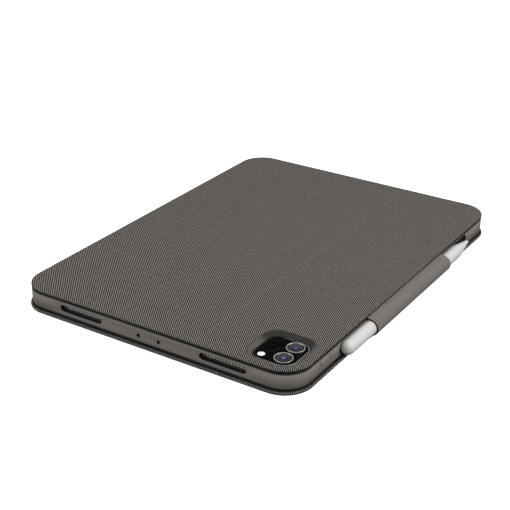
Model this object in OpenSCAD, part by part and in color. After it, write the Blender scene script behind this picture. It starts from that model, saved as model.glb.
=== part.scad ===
// Folio keyboard case for an 11-inch class tablet, closed, with the tablet in its tray and a
// stylus held under a flap. X runs along the long side, +Y is the hinged spine, -Y is the edge
// with the stylus, +Z is up. The origin is the centre of the face that the case lies on.

/* [Case] */
// Length of the covers along X
case_l = 255.6; // [254:0.1:258]
// Width of the covers along Y
case_w = 186.2; // [185.8:0.1:187]
// Corner radius of the covers
corner_r = 17; // [16:0.5:19]
// Thickness of the keyboard cover
base_t = 2; // [1.9:0.1:2]
// Distance that the keyboard cover stands out past the back cover
base_out = 0.9; // [0.5:0.1:1]
// Thickness of the back cover
cover_t = 1.7; // [1.6:0.1:1.8]
// Height of the closed case
case_h = 14.8; // [14.8:0.1:15.2]
// Inset of the tray's wall from the covers' edge
wall_inset = 0.5; // [0.4:0.1:0.7]
// Position of the kickstand's crease along Y
crease_y = -30.1; // [-36:0.1:-20]

/* [Tablet and stylus] */
// Length of the tablet
tablet_l = 247.6; // [247:0.1:247.6]
// Width of the tablet
tablet_w = 178.5; // [178:0.1:178.5]
// Thickness of the tablet
tablet_t = 5.9; // [5.5:0.1:6]
// Radius of the stylus
stylus_r = 4.2; // [4:0.05:4.2]
// Length of the stylus
stylus_l = 166; // [160:1:168]

/* [Keyboard] */
// Distance between neighbouring keys
key_pitch = 16.6; // [16:0.1:16.8]
// Gap between neighbouring keycaps
key_gap = 2.4; // [2:0.1:3]
// Travel of a key
key_travel = 1; // [0.8:0.1:1]

/* [Flap] */
// End of the flap towards -X
flap_x0 = -50; // [-60:1:-40]
// End of the flap towards +X
flap_x1 = 48.5; // [40:0.5:60]
// Thickness of the flap's fabric
flap_t = 0.7; // [0.6:0.1:0.7]

/* [Hidden] */
$fn = 48;
eps = 0.02;
gap = 0.3;            // free gap between bodies that move past each other
fit_gap = 0.1;        // gap between pieces of one body

// Heights of the layers, from the table up
base_skin_t = 0.6;
board_z1 = 1.5;
frame_z0 = base_t + gap;
frame_z1 = case_h - cover_t - gap;
cover_z0 = case_h - cover_t;
cover_board_z1 = cover_z0 + 0.95;
cover_skin_z = cover_z0 + 1;
circuit_z1 = 2.38;
plate_under = 2.4;                       // underside of the plate below the keys
deck_shelf_z = 2.7;
deck_z1 = 4.3;
dome_h = 0.18;
cap_z0 = 4.2;
cap_z1 = 5.1;
tablet_z0 = 5.7;
lip_top = 4.6;                           // top of the bevel under the tray's lip
glass_t = 0.6;
tablet_z1 = tablet_z0 + tablet_t;
tablet_mid_z = tablet_z0 + tablet_t / 2;
plate_z0 = tablet_z1 + 0.1;
plate_z1 = plate_z0 + 1;
bump_z1 = frame_z1;

// Magnets and the connector
base_magnet_r = 2.5;
base_magnet_t = 0.7;
base_magnet_z = 0.7;
magnet_r = 4;
magnet_t = 0.7;
tray_magnet_z = plate_z0 + 0.25;
connector_y = 79;
PIN_X = [-4, 0, 4];
contact_r = 0.9;

// Plan sizes
edge_wrap = 0.7;
base_l = case_l + 2 * base_out;
base_w = case_w + 2 * base_out;
base_r = corner_r + 0.5;
frame_l = case_l - 2 * wall_inset;
frame_w = case_w - 2 * wall_inset;
frame_r = corner_r - 1.5;
cavity_l = tablet_l + 0.2;
cavity_w = tablet_w + 0.2;
tablet_r = frame_r - 2;
lip = 2.5;
window_l = tablet_l - 2 * lip;
window_w = tablet_w - 2 * lip;
window_r = tablet_r - lip;

// Keyboard deck
deck_l = 239;
deck_y0 = -84;
deck_y1 = 82;
deck_w = deck_y1 - deck_y0;
deck_y = (deck_y0 + deck_y1) / 2;
deck_r = 8;
cap_r = 1.6;
keys_l = 14 * key_pitch;
function_h = 9;                          // depth of the function keys
keys_y1 = 76;                            // rear edge of the function row
row_y = [for (k = [0:4]) keys_y1 - function_h - key_gap - (k + 0.5) * key_pitch];
keys_y0 = row_y[4] - key_pitch / 2;
function_y = keys_y1 - function_h / 2;
// Key widths in pitches, from -X to +X
UNIT = [for (k = [0:13]) 1];
HOME = concat([1.25], [for (k = [0:10]) 1], [1.75]);
LOWER = concat([1.75], [for (k = [0:9]) 1], [2.25]);
MODIFIERS = [1, 1, 1, 1.25];
SPACE = 5;
AFTER_SPACE = [1.25, 1];
ARROW = 2.5 / 3;
space_x0 = -keys_l / 2 + 4.25 * key_pitch;
after_x0 = space_x0 + SPACE * key_pitch;
arrow_x0 = after_x0 + 2.25 * key_pitch;
pad_l = 108;
pad_y0 = -80;
pad_y1 = keys_y0 - 5;
pad_w = pad_y1 - pad_y0;
pad_y = (pad_y0 + pad_y1) / 2;
pad_top = deck_z1 + 0.1;
pad_t = 0.8;
pad_frame_z = 2.9;

// Hinge strip along the spine
strip_half = 100;
strip_y = case_w / 2 - 0.65;
strip_t = 1;
spine_z = 1.2;
tray_hinge_z = 12;
notch_y = strip_y - strip_t / 2 - gap;
spine_recess_y = notch_y - 0.05;         // the tray's wall steps in behind the strip

// Kickstand hinges: axis, knuckles and leaves
hinge_z = cover_z0 + 0.75;
knuckle_r = 0.7;
pin_r = 0.35;
running_gap = 0.05;
hinge_x = 86;
knuckle_l = 7;
leaf_len = 13;
leaf_t = 0.55;
crease_half = knuckle_r + gap;

// Camera island of the tablet and the window over it
camera_x = -105.9;
camera_y = -71.6;
camera_win_l = 31.8;
camera_win_w = 31.4;
camera_win_r = 9;
surround_w = 2.6;                        // width of the surround's slope
island_x = camera_x - 0.1;
island_y = camera_y - 0.3;
island = 25.2;
island_r = 7;
lens_r = 5.2;
lens_wall = 0.45;
lens_z = bump_z1 - 0.95;
flash_r = 2.05;
depth_r = 3.05;
WIDE = [-6.5, -4.9];                     // places on the island, from its centre
ULTRA = [5.8, -5];
FLASH = [-8.7, 7.4];
DEPTH = [0.8, 7];

// Stylus and the flap that wraps it
stylus_x0 = -79.5;
stylus_y = -case_w / 2 - 2;
stylus_z = 7.5;
nib_l = 19;
groove_r = stylus_r + gap;
flap_r = stylus_r + gap + flap_t / 2;
flap_top_a = 90;
flap_low_a = 230;
flap_hinge = [stylus_y + flap_r * cos(flap_top_a), stylus_z + flap_r * sin(flap_top_a)];
flap_foot = [-base_w / 2 - 1.1, 1.4];
root_y = -case_w / 2 - 1.2;              // outer end of the cloth that the flap hangs from
tip_z = 0.45;
tip_t = 0.7;
tip_y0 = -base_w / 2 - 0.9;
tip_y1 = -83;
recess_z = 1.1;

// Buttons, slots and ports in the tray's wall
wall_cut = 4;                            // depth of the cuts through the wall
slot_h = 3.6;
slot_len = 29;
slot_z = 7.6;
SLOT_Y = [47.6, -48.4];
MIC_Y = [6.7, -6.9];
mic_z = 7.15;
mic_r = 0.9;
port_len = 13;
port_h = 6.4;
button_h = 4.4;
button_len = 8.6;
VOLUME_X = [-96.6, -86.6];
button_proud = 0.2;
button_t = 1.5;

fabric_dark = [0.33, 0.33, 0.34];
fabric_light = [0.47, 0.47, 0.48];
tray_grey = [0.40, 0.40, 0.41];
deck_grey = [0.36, 0.36, 0.37];
key_grey = [0.20, 0.20, 0.21];
silver = [0.72, 0.73, 0.75];
black = [0.03, 0.03, 0.035];
white = [0.93, 0.93, 0.93];

// ---- shared shapes ----

module rounded_rect(l, w, r) {
  square([l - 2 * r, w], center = true);
  square([l, w - 2 * r], center = true);
  for (sx = [-1, 1], sy = [-1, 1])
    translate([sx * (l / 2 - r), sy * (w / 2 - r)]) circle(r);
}

module slab(l, w, r, z0, z1) {
  translate([0, 0, z0]) linear_extrude(z1 - z0) rounded_rect(l, w, r);
}

// Block given by its lowest and highest corners
module block(lo, hi) {
  translate(lo) cube(hi - lo);
}

// Carries a profile, drawn as distance from the corner's centre against height, round a
// rectangle with corners of radius r
module edge_sweep(l, w, r) {
  for (k = [0:3]) {
    across = (k % 2 == 0 ? l : w) / 2 - r;
    along = (k % 2 == 0 ? w : l) / 2 - r;
    rotate(90 * k) {
      translate([across, along, 0]) rotate_extrude(angle = 90) children();
      translate([across, along, 0]) rotate([90, 0, 0]) linear_extrude(2 * along) children();
    }
  }
}

function arc(cx, cy, r, a0, a1, steps) =
  [for (k = [0:steps]) let (a = a0 + (a1 - a0) * k / steps) [cx + r * cos(a), cy + r * sin(a)]];

// Slab whose lower and upper edges are rounded by the radii lo and hi
module soft_slab(l, w, r, z0, z1, lo, hi) {
  profile = concat([[0, z0]], arc(r - lo, z0 + lo, lo, -90, 0, 4), arc(r - hi, z1 - hi, hi, 0, 90, 4),
                   [[0, z1]]);
  edge_sweep(l, w, r) polygon(profile);
  block([r - l / 2, r - w / 2, z0], [l / 2 - r, w / 2 - r, z1]);
}

// Extrudes a profile drawn in the Y-Z plane from x0 to x1
module along_x(x0, x1) {
  translate([x0, 0, 0]) rotate([90, 0, 90]) linear_extrude(x1 - x0) children();
}

module rod_x(x0, x1, y, z, r) {
  translate([x0, y, z]) rotate([0, 90, 0]) cylinder(h = x1 - x0, r = r);
}

// Slot through a wall that faces +X, with round ends and a bevelled mouth at x = 0
module wall_slot(len, h, depth, bevel) {
  half = (len - h) / 2;
  block([-depth, -half, -h / 2], [1, half, h / 2]);
  for (s = [-1, 1]) translate([0, s * half, 0]) {
    rod_x(-depth, 1, 0, 0, h / 2);
    translate([-bevel, 0, 0]) rotate([0, 90, 0]) cylinder(h = bevel + eps, r1 = h / 2, r2 = h / 2 + bevel);
  }
  translate([0, half, 0]) rotate([90, 0, 0]) linear_extrude(2 * half)
    polygon([[-bevel, -h / 2], [eps, -h / 2 - bevel], [eps, h / 2 + bevel], [-bevel, h / 2]]);
}

// ---- keyboard cover ----

// What the rear hinge strip takes out of the keyboard cover
module strip_notch(clear) {
  block([-strip_half - 1, notch_y - clear, -1], [strip_half + 1, case_w, base_t + 1]);
}

// Recess under the front edge that takes the flap's tip
module tip_recess() {
  block([flap_x0 - 0.5, -case_w, -1], [flap_x1 + 0.5, tip_y1 + 0.5, recess_z]);
}

module base_fabric() {
  color(fabric_dark) difference() {
    soft_slab(base_l, base_w, base_r, 0, base_t, 0.9, 0.9);
    slab(base_l - 2 * edge_wrap, base_w - 2 * edge_wrap, base_r - edge_wrap, base_skin_t, base_t + 1);
    strip_notch(0);
    tip_recess();
  }
}

module base_plan(inset) {
  rounded_rect(base_l - 2 * inset, base_w - 2 * inset, base_r - inset);
}

function base_magnet_at() = [for (sx = [-1, 1], y = [-80, -40, 60]) [sx * 121.5, y]];

// Block of the steel plate that holds the flap's magnet, drawn in by inset on every side
module landing(inset, z0, z1) {
  block([flap_x0 + 4 + inset, -92.2 + inset, z0], [flap_x1 - 4 - inset, -83.8 - inset, z1]);
}

module base_board() {
  color("dimgray") difference() {
    translate([0, 0, base_skin_t]) linear_extrude(board_z1 - base_skin_t) base_plan(edge_wrap + fit_gap);
    strip_notch(fit_gap);
    tip_recess();
    landing(0, 0, base_t);
    for (p = base_magnet_at())
      translate([p[0], p[1], base_magnet_z]) cylinder(h = 2, r = base_magnet_r + fit_gap);
  }
}

module base_magnets() {
  color(silver) for (p = base_magnet_at())
    translate([p[0], p[1], base_magnet_z]) cylinder(h = base_magnet_t, r = base_magnet_r);
}

module landing_plate() {
  color(silver) landing(fit_gap, recess_z, board_z1 - 0.05);
}

module base_liner() {
  color(deck_grey) difference() {
    translate([0, 0, board_z1]) linear_extrude(base_t - board_z1) base_plan(edge_wrap + fit_gap);
    strip_notch(fit_gap);
  }
}

// ---- keyboard ----

// Left edges of a row of keys, in pitches from its own start
function starts(row, k = 0, x = 0) =
  k == len(row) ? [] : concat([x], starts(row, k + 1, x + row[k]));

// Plan of a row: each key's width is in pitches, grow widens the shape for its well
module row_plan(row, x0, y, depth, r, grow) {
  at = starts(row);
  for (k = [0:len(row) - 1])
    translate([x0 + (at[k] + row[k] / 2) * key_pitch, y])
      if (r > 0) rounded_rect(row[k] * key_pitch - key_gap + grow, depth + grow, r);
      else square([row[k] * key_pitch - key_gap + grow, depth + grow], center = true);
}

cap_depth = key_pitch - key_gap;

module function_plan(r, grow) row_plan(UNIT, -keys_l / 2, function_y, function_h, r, grow);
module number_plan(r, grow) row_plan(UNIT, -keys_l / 2, row_y[0], cap_depth, r, grow);
module upper_plan(r, grow) row_plan(UNIT, -keys_l / 2, row_y[1], cap_depth, r, grow);
module home_plan(r, grow) row_plan(HOME, -keys_l / 2, row_y[2], cap_depth, r, grow);
module lower_plan(r, grow) row_plan(LOWER, -keys_l / 2, row_y[3], cap_depth, r, grow);
module space_plan(r, grow) row_plan([SPACE], space_x0, row_y[4], cap_depth, r, grow);

module bottom_plan(r, grow) {
  half_depth = (cap_depth - 1) / 2;
  row_plan(MODIFIERS, -keys_l / 2, row_y[4], cap_depth, r, grow);
  row_plan(AFTER_SPACE, after_x0, row_y[4], cap_depth, r, grow);
  for (k = [0, 2]) row_plan([ARROW], arrow_x0 + k * ARROW * key_pitch, row_y[4], cap_depth, r, grow);
  for (s = [-1, 1])
    row_plan([ARROW], arrow_x0 + ARROW * key_pitch, row_y[4] + s * (half_depth + 1) / 2, half_depth,
             min(r, 1), min(grow, 0.4));
}

module all_wells() {
  grow = 2 * gap;
  function_plan(0, grow);
  number_plan(0, grow);
  upper_plan(0, grow);
  home_plan(0, grow);
  lower_plan(0, grow);
  bottom_plan(0, grow);
  space_plan(0, grow);
}

module caps() {
  color(key_grey) translate([0, 0, cap_z0]) linear_extrude(cap_z1 - cap_z0) children();
}

module keys_function() caps() function_plan(cap_r, 0);
module keys_number() caps() number_plan(cap_r, 0);
module keys_upper() caps() upper_plan(cap_r, 0);
module keys_home() caps() home_plan(cap_r, 0);
module keys_lower() caps() lower_plan(cap_r, 0);
module keys_bottom() caps() bottom_plan(cap_r, 0);
module space_bar() caps() space_plan(cap_r, 0);

module keyboard_deck() {
  color(deck_grey) difference() {
    translate([0, deck_y, 0]) soft_slab(deck_l, deck_w, deck_r, base_t, deck_z1, 0.2, 0.8);
    translate([0, 0, deck_shelf_z]) linear_extrude(3) all_wells();
    key_field(base_t - 1, deck_shelf_z, 0);
    block([-pad_l / 2 - gap, pad_y0 - gap, base_t - 1], [pad_l / 2 + gap, pad_y1 + gap, deck_z1 + 1]);
  }
}

module key_field(z0, z1, inset) {
  half = keys_l / 2 + 1 - inset;
  block([-half, keys_y0 - 1 + inset, z0], [half, keys_y1 + 1.5 - inset, z1]);
}

module key_plate() {
  color(silver) key_field(plate_under, deck_shelf_z, fit_gap);
}

module keyboard_circuit() {
  color("darkgreen") key_field(base_t + eps, circuit_z1, fit_gap);
}

module key_domes() {
  dome_r = 2.4;
  color("dimgray") translate([0, 0, deck_shelf_z + eps]) {
    for (y = [row_y[0], row_y[1]], k = [0:13])
      translate([-keys_l / 2 + (k + 0.5) * key_pitch, y, 0]) cylinder(h = dome_h, r = dome_r);
    for (k = [0:13])
      translate([-keys_l / 2 + (k + 0.5) * key_pitch, function_y, 0]) cylinder(h = dome_h, r = dome_r);
    for (k = [0:10])
      translate([-keys_l / 2 + (k + 1.75) * key_pitch, row_y[2], 0]) cylinder(h = dome_h, r = dome_r);
    for (k = [0:9])
      translate([-keys_l / 2 + (k + 2.25) * key_pitch, row_y[3], 0]) cylinder(h = dome_h, r = dome_r);
    for (k = [0:2])
      translate([-keys_l / 2 + (k + 0.5) * key_pitch, row_y[4], 0]) cylinder(h = dome_h, r = dome_r);
    translate([space_x0 + SPACE * key_pitch / 2, row_y[4], 0]) cylinder(h = dome_h, r = dome_r);
  }
}

module trackpad() {
  color(key_grey) translate([0, pad_y, 0]) slab(pad_l, pad_w, 2, pad_top - pad_t, pad_top);
}

module trackpad_frame() {
  color(silver) difference() {
    block([-pad_l / 2, pad_y0, base_t + eps], [pad_l / 2, pad_y1, pad_frame_z]);
    block([-pad_l / 2 + 4, pad_y0 + 4, base_t - 1], [pad_l / 2 - 4, pad_y1 - 4, pad_frame_z - 0.3]);
  }
}

module trackpad_switch() {
  color("dimgray") translate([0, pad_y0 + 9, pad_frame_z + eps]) cylinder(h = 0.2, r = 3);
}

// ---- hinge strip ----

module strip_fabric() {
  color(fabric_dark) difference() {
    union() {
      block([-strip_half, strip_y - strip_t / 2, spine_z], [strip_half, strip_y + strip_t / 2, tray_hinge_z]);
      for (z = [spine_z, tray_hinge_z]) rod_x(-strip_half, strip_half, strip_y, z, strip_t / 2);
    }
    block([-10.1, strip_y - 0.2, -1], [10.1, strip_y + 0.2, frame_z1]);
  }
}

module strip_cable() {
  color("orange") block([-10, strip_y - 0.15, spine_z], [10, strip_y + 0.15, tray_hinge_z]);
}

// ---- tray ----

module at_wall(side) {
  // side: 0 for +X, 90 for +Y, 180 for -X, 270 for -Y; x = 0 is then the wall's outer face
  rotate([0, 0, side]) translate([(side % 180 == 0 ? frame_l : frame_w) / 2, 0, 0]) children();
}

module stylus_groove() {
  ends = [stylus_x0 - 1.5 + stylus_r, stylus_x0 + stylus_l + 4 - stylus_r];
  rod_x(ends[0], ends[1], stylus_y, stylus_z, groove_r);
  for (x = ends) translate([x, stylus_y, stylus_z]) sphere(groove_r);
}

// Openings for the volume keys; margin is the gap left round the moving pads
module button_cut(margin) {
  for (x = VOLUME_X) translate([x, 0, 0]) at_wall(270) translate([0, 0, tablet_mid_z])
    wall_slot(button_len + 2 * margin, button_h + 2 * margin, wall_cut, 0.1);
}

// Rounds the tray's edge over the hinge, so that it swings clear of the keyboard cover's edge
module spine_relief() {
  r = 2.4;
  y = frame_w / 2 - r;
  along_x(-case_l, case_l)
    polygon(concat(arc(y, frame_z0 + r, r, -90, 0, 6), [[case_w, frame_z0 + r], [case_w, 0], [y, 0]]));
}

module tray_frame() {
  color(tray_grey) difference() {
    soft_slab(frame_l, frame_w, frame_r, frame_z0, frame_z1, 1, 0.8);
    spine_relief();
    slab(cavity_l, cavity_w, tablet_r, tablet_z0 - 0.1, frame_z1 + 1);
    slab(window_l, window_w, window_r, frame_z0 - 1, tablet_z0);
    edge_sweep(window_l, window_w, window_r)
      polygon([[window_r - 1, frame_z0 - 1], [window_r + 2.9, frame_z0 - 1], [window_r, lip_top],
               [window_r - 1, lip_top]]);
    for (side = [0, 180], y = SLOT_Y) translate([0, y, 0]) at_wall(side) translate([0, 0, slot_z])
      wall_slot(slot_len, slot_h, wall_cut, 0.6);
    for (y = MIC_Y) rod_x(-case_l / 2, -tablet_l / 2 + 1, y, mic_z, mic_r);
    at_wall(0) translate([0, 0, tablet_mid_z]) wall_slot(port_len, port_h, wall_cut, 0.5);
    block([-strip_half - 1, spine_recess_y, 0], [strip_half + 1, case_w, case_h]);
    button_cut(gap);
    stylus_groove();
  }
}

module button_pad() {
  translate([-button_t, 0, tablet_mid_z]) {
    half = (button_len - button_h) / 2;
    block([0, -half, -button_h / 2], [button_t + button_proud, half, button_h / 2]);
    for (s = [-1, 1]) rod_x(0, button_t + button_proud, s * half, 0, button_h / 2);
  }
}

module volume_up_button() color(tray_grey) translate([VOLUME_X[0], 0, 0]) at_wall(270) button_pad();
module volume_down_button() color(tray_grey) translate([VOLUME_X[1], 0, 0]) at_wall(270) button_pad();

module camera_window(grow, z0, z1) {
  translate([camera_x, camera_y, 0])
    slab(camera_win_l + grow, camera_win_w + grow, camera_win_r + grow / 2, z0, z1);
}

function tray_magnet_at() = [for (x = [-90, -60, 60, 90]) [x, 80]];

module back_plate() {
  color("dimgray") difference() {
    slab(tablet_l - 0.1, tablet_w - 0.1, tablet_r - 0.2, plate_z0, plate_z1);
    camera_window(fit_gap, plate_z0 - 1, plate_z1 + 1);
    for (p = tray_magnet_at())
      translate([p[0], p[1], tray_magnet_z]) cylinder(h = 2, r = magnet_r + fit_gap);
    connector_room(fit_gap, plate_z0 - 1, plate_z1 + 1);
  }
}

module tray_magnets() {
  color(silver) for (p = tray_magnet_at())
    translate([p[0], p[1], tray_magnet_z]) cylinder(h = magnet_t, r = magnet_r);
}

// Block of the connector, grown by grow on every side
module connector_room(grow, z0, z1) {
  block([-9 - grow, connector_y - 3.5 - grow, z0], [9 + grow, connector_y + 3.5 + grow, z1]);
}

module connector_block() {
  color(black) difference() {
    connector_room(0, plate_z0, plate_z1);
    for (x = PIN_X) translate([x, connector_y, plate_z0 - 1]) cylinder(h = 1.85, r = contact_r + 0.05);
  }
}

module contact_pins() {
  color("gold") for (x = PIN_X) translate([x, connector_y, tablet_z1 + eps]) cylinder(h = 0.9, r = contact_r);
}

// Camera window's soft surround: a straight outside and an inside that slopes in towards the tablet
module camera_surround() {
  r = camera_win_r;
  foot = r - surround_w;
  color(tray_grey) translate([camera_x, camera_y, 0]) edge_sweep(camera_win_l, camera_win_w, r)
    polygon([[foot, plate_z0], [r, plate_z0], [r, case_h - 0.5], [r - 0.25, case_h - 0.25],
             [r - 0.5, case_h - 0.4], [foot + 0.5, frame_z1 - 0.3], [foot, frame_z1 - 0.5]]);
}

// ---- back cover, fixed part and kickstand ----

// Groove between the two halves of the cover: wide enough for the hinges, and opening upwards so
// that the halves can fold outwards
module crease_cut() {
  deep = crease_half;
  wide = 2.1;
  along_x(-case_l, case_l) translate([crease_y, hinge_z])
    polygon([[-deep, -3], [deep, -3], [deep, 0.42], [wide, 1.05],
             [wide, 3], [-wide, 3], [-wide, 1.05], [-deep, 0.42]]);
}

// Keeps the part of the cover on one side of the crease: -1 for the fixed part, 1 for the kickstand
module side_of_crease(s) {
  intersection() {
    children();
    if (s < 0) block([-case_l, -case_w, 0], [case_l, crease_y, 2 * case_h]);
    else block([-case_l, crease_y, 0], [case_l, case_w, 2 * case_h]);
  }
}

// Pocket in a cover board for the hinge leaves
module leaf_pockets() {
  half_l = 1.5 * knuckle_l + 1;
  half_w = leaf_len + 0.2;
  for (sx = [-1, 1])
    block([sx * hinge_x - half_l, crease_y - half_w, 0], [sx * hinge_x + half_l, crease_y + half_w, case_h]);
}

module cover_fabric_half(s) {
  side_of_crease(s) difference() {
    soft_slab(case_l, case_w, corner_r, cover_z0, case_h, 0.3, 1);
    slab(case_l - 2 * edge_wrap, case_w - 2 * edge_wrap, corner_r - edge_wrap, cover_z0 - 1, cover_skin_z);
    crease_cut();
  }
}

module cover_board_half(s) {
  inset = edge_wrap + fit_gap;
  side_of_crease(s) difference() {
    slab(case_l - 2 * inset, case_w - 2 * inset, corner_r - inset, cover_z0, cover_board_z1);
    crease_cut();
    leaf_pockets();
  }
}

module cover_fabric() {
  color(fabric_light) difference() {
    cover_fabric_half(-1);
    camera_window(fit_gap, cover_z0 - 1, case_h + 1);
  }
}

module cover_board() {
  color("dimgray") difference() {
    cover_board_half(-1);
    camera_window(fit_gap, cover_z0 - 1, case_h + 1);
  }
}

module kickstand_fabric() color(fabric_light) cover_fabric_half(1);

function stand_magnet_at() = [for (x = [-90, -60, 60, 90]) [x, 80]];

module kickstand_board() {
  color("dimgray") difference() {
    cover_board_half(1);
    for (p = stand_magnet_at())
      translate([p[0], p[1], cover_z0 - 1]) cylinder(h = 1.75, r = magnet_r + fit_gap);
  }
}

module kickstand_magnets() {
  color(silver) for (p = stand_magnet_at())
    translate([p[0], p[1], cover_z0 + 0.05]) cylinder(h = 0.65, r = magnet_r);
}

// Knuckle about the crease's axis with a leaf that runs to one side
module knuckle(x0, x1, s, bore) {
  difference() {
    union() {
      rod_x(x0, x1, crease_y, hinge_z, knuckle_r);
      block([x0, s > 0 ? crease_y : crease_y - leaf_len, hinge_z - leaf_t],
            [x1, s > 0 ? crease_y + leaf_len : crease_y, hinge_z]);
    }
    rod_x(x0 - 1, x1 + 1, crease_y, hinge_z, bore);
  }
}

// The plate that joins the knuckles of one side, clear of the barrel
module leaf_web(x, s) {
  near = crease_half + 0.2;
  block([x - 1.5 * knuckle_l, s > 0 ? crease_y + near : crease_y - leaf_len, hinge_z - leaf_t],
        [x + 1.5 * knuckle_l, s > 0 ? crease_y + leaf_len : crease_y - near, hinge_z]);
}

module hinge_leaves_fixed() {
  color(silver) for (sx = [-1, 1]) {
    x = sx * hinge_x;
    knuckle(x - 1.5 * knuckle_l, x - 0.5 * knuckle_l - gap, -1, pin_r + 0.01);
    knuckle(x + 0.5 * knuckle_l + gap, x + 1.5 * knuckle_l, -1, pin_r + 0.01);
    leaf_web(x, -1);
  }
}

module hinge_leaves_moving() {
  color(silver) for (sx = [-1, 1]) {
    x = sx * hinge_x;
    knuckle(x - 0.5 * knuckle_l, x + 0.5 * knuckle_l, 1, pin_r + running_gap);
    leaf_web(x, 1);
  }
}

module hinge_pins() {
  color("dimgray") for (sx = [-1, 1])
    rod_x(sx * hinge_x - 1.5 * knuckle_l, sx * hinge_x + 1.5 * knuckle_l, crease_y, hinge_z, pin_r);
}

// ---- flap ----

// Cloth that comes out from under the back cover and carries the flap
module flap_root() {
  edge_y = -case_w / 2;
  color(fabric_light) along_x(flap_x0, flap_x1)
    polygon([[edge_y + 6, frame_z1 + eps], [edge_y + 6, cover_z0 - eps], [edge_y, cover_z0 - eps],
             [root_y, cover_z0 - 0.3], [root_y, cover_z0 - 0.7], [edge_y, cover_z0 - 0.55],
             [edge_y + 0.35, frame_z1 + eps]]);
}

// The flap's section: an arc about the stylus, then a straight run down past the lower cover
function flap_section(side) =
  let (half = side * flap_t / 2)
    concat(arc(stylus_y, stylus_z, flap_r + half, flap_top_a, flap_low_a, 20),
           [[flap_foot[0] + half * cos(flap_low_a), flap_foot[1] + half * sin(flap_low_a)]]);

function reversed(list) = [for (k = [len(list) - 1:-1:0]) list[k]];

module flap_fabric() {
  color(fabric_light) {
    along_x(flap_x0, flap_x1) polygon(concat(flap_section(1), reversed(flap_section(-1))));
    rod_x(flap_x0, flap_x1, flap_hinge[0], flap_hinge[1], flap_t / 2);
  }
}

module flap_magnet_room(inset, z0, z1) {
  block([flap_x0 + 5 + inset, -92 + inset, z0], [flap_x1 - 5 - inset, -84 - inset, z1]);
}

module flap_tip_fabric() {
  color(fabric_light) difference() {
    union() {
      block([flap_x0, tip_y0, tip_z - tip_t / 2], [flap_x1, tip_y1, tip_z + tip_t / 2]);
      rod_x(flap_x0, flap_x1, tip_y0, tip_z, tip_t / 2);
    }
    flap_magnet_room(0, tip_z - 0.1, 1);
  }
}

module flap_magnet() {
  color(silver) flap_magnet_room(fit_gap, tip_z - 0.1 + eps, tip_z + tip_t / 2);
}

// ---- tablet ----

module tablet_housing() {
  grille_pitch = 2.2;
  color(silver) difference() {
    soft_slab(tablet_l, tablet_w, tablet_r - 0.1, tablet_z0 + glass_t, tablet_z1, 0.3, 0.3);
    for (side = [0, 180], y = SLOT_Y, k = [-6:6])
      rotate(side) rod_x(tablet_l / 2 - 0.8, tablet_l / 2 + 1, (side == 0 ? 1 : -1) * y + k * grille_pitch,
                         slot_z - 0.4, 0.55);
    for (y = MIC_Y) rod_x(-tablet_l / 2 - 1, -tablet_l / 2 + 0.8, y, mic_z, 0.4);
    translate([tablet_l / 2, 0, tablet_mid_z]) wall_slot(8.6, 2.9, 6, 0);
  }
}

module tablet_glass() {
  color(black) slab(tablet_l - 0.6, tablet_w - 0.6, tablet_r - 0.4, tablet_z0, tablet_z0 + glass_t);
}

module at_island(p, z) {
  translate([island_x + p[0], island_y + p[1], z]) children();
}

module ring(r_out, r_in, h) {
  difference() {
    cylinder(h = h, r = r_out);
    translate([0, 0, -1]) cylinder(h = h + 2, r = r_in);
  }
}

module camera_island() {
  color(black) difference() {
    at_island([0, 0], 0) slab(island - 1.2, island - 1.2, island_r - 0.6, tablet_z1, bump_z1);
    for (p = [WIDE, ULTRA]) at_island(p, bump_z1 - 1) cylinder(h = 2, r = lens_r + 0.05);
    at_island(FLASH, bump_z1 - 0.5) cylinder(h = 2, r = flash_r + 0.05);
    at_island(DEPTH, bump_z1 - 0.5) cylinder(h = 2, r = depth_r + 0.05);
  }
}

module camera_rim() {
  color(silver) at_island([0, 0], 0) difference() {
    slab(island, island, island_r, tablet_z1, bump_z1 - 0.15);
    slab(island - 1.15, island - 1.15, island_r - 0.58, tablet_z1 - 1, bump_z1 + 1);
  }
}

module lens_ring(p) {
  color(silver) at_island(p, lens_z) ring(lens_r, lens_r - lens_wall, 1.6);
}

module lens_glass(p) {
  color("midnightblue") at_island(p, lens_z) cylinder(h = 1.3, r = lens_r - lens_wall - 0.05);
}

module lens_ring_wide() lens_ring(WIDE);
module lens_ring_ultra() lens_ring(ULTRA);
module lens_glass_wide() lens_glass(WIDE);
module lens_glass_ultra() lens_glass(ULTRA);
module camera_flash() color(white) at_island(FLASH, bump_z1 - 0.48) cylinder(h = 0.5, r = flash_r);
module depth_sensor() color("dimgray") at_island(DEPTH, bump_z1 - 0.48) cylinder(h = 0.5, r = depth_r);

// ---- stylus ----

nib_x = stylus_x0 + stylus_l - nib_l;

module stylus_barrel() {
  end_r = stylus_r - 0.4;
  barrel_l = nib_x - stylus_x0 - 0.1;
  color(white) difference() {
    translate([stylus_x0, stylus_y, stylus_z]) rotate([0, 90, 0]) rotate_extrude()
      polygon(concat([[0, 0]], arc(stylus_r - end_r, end_r, end_r, -90, 0, 6),
                     [[stylus_r, barrel_l], [0, barrel_l]]));
    block([stylus_x0 - 1, stylus_y + stylus_r - 0.35, 0], [nib_x - 12, 0, case_h]);
  }
}

module stylus_nib() {
  end_r = 1;
  color(white) {
    translate([nib_x, stylus_y, stylus_z]) rotate([0, 90, 0])
      cylinder(h = nib_l - end_r, r1 = stylus_r, r2 = end_r);
    translate([nib_x + nib_l - end_r, stylus_y, stylus_z]) sphere(end_r);
  }
}

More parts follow.
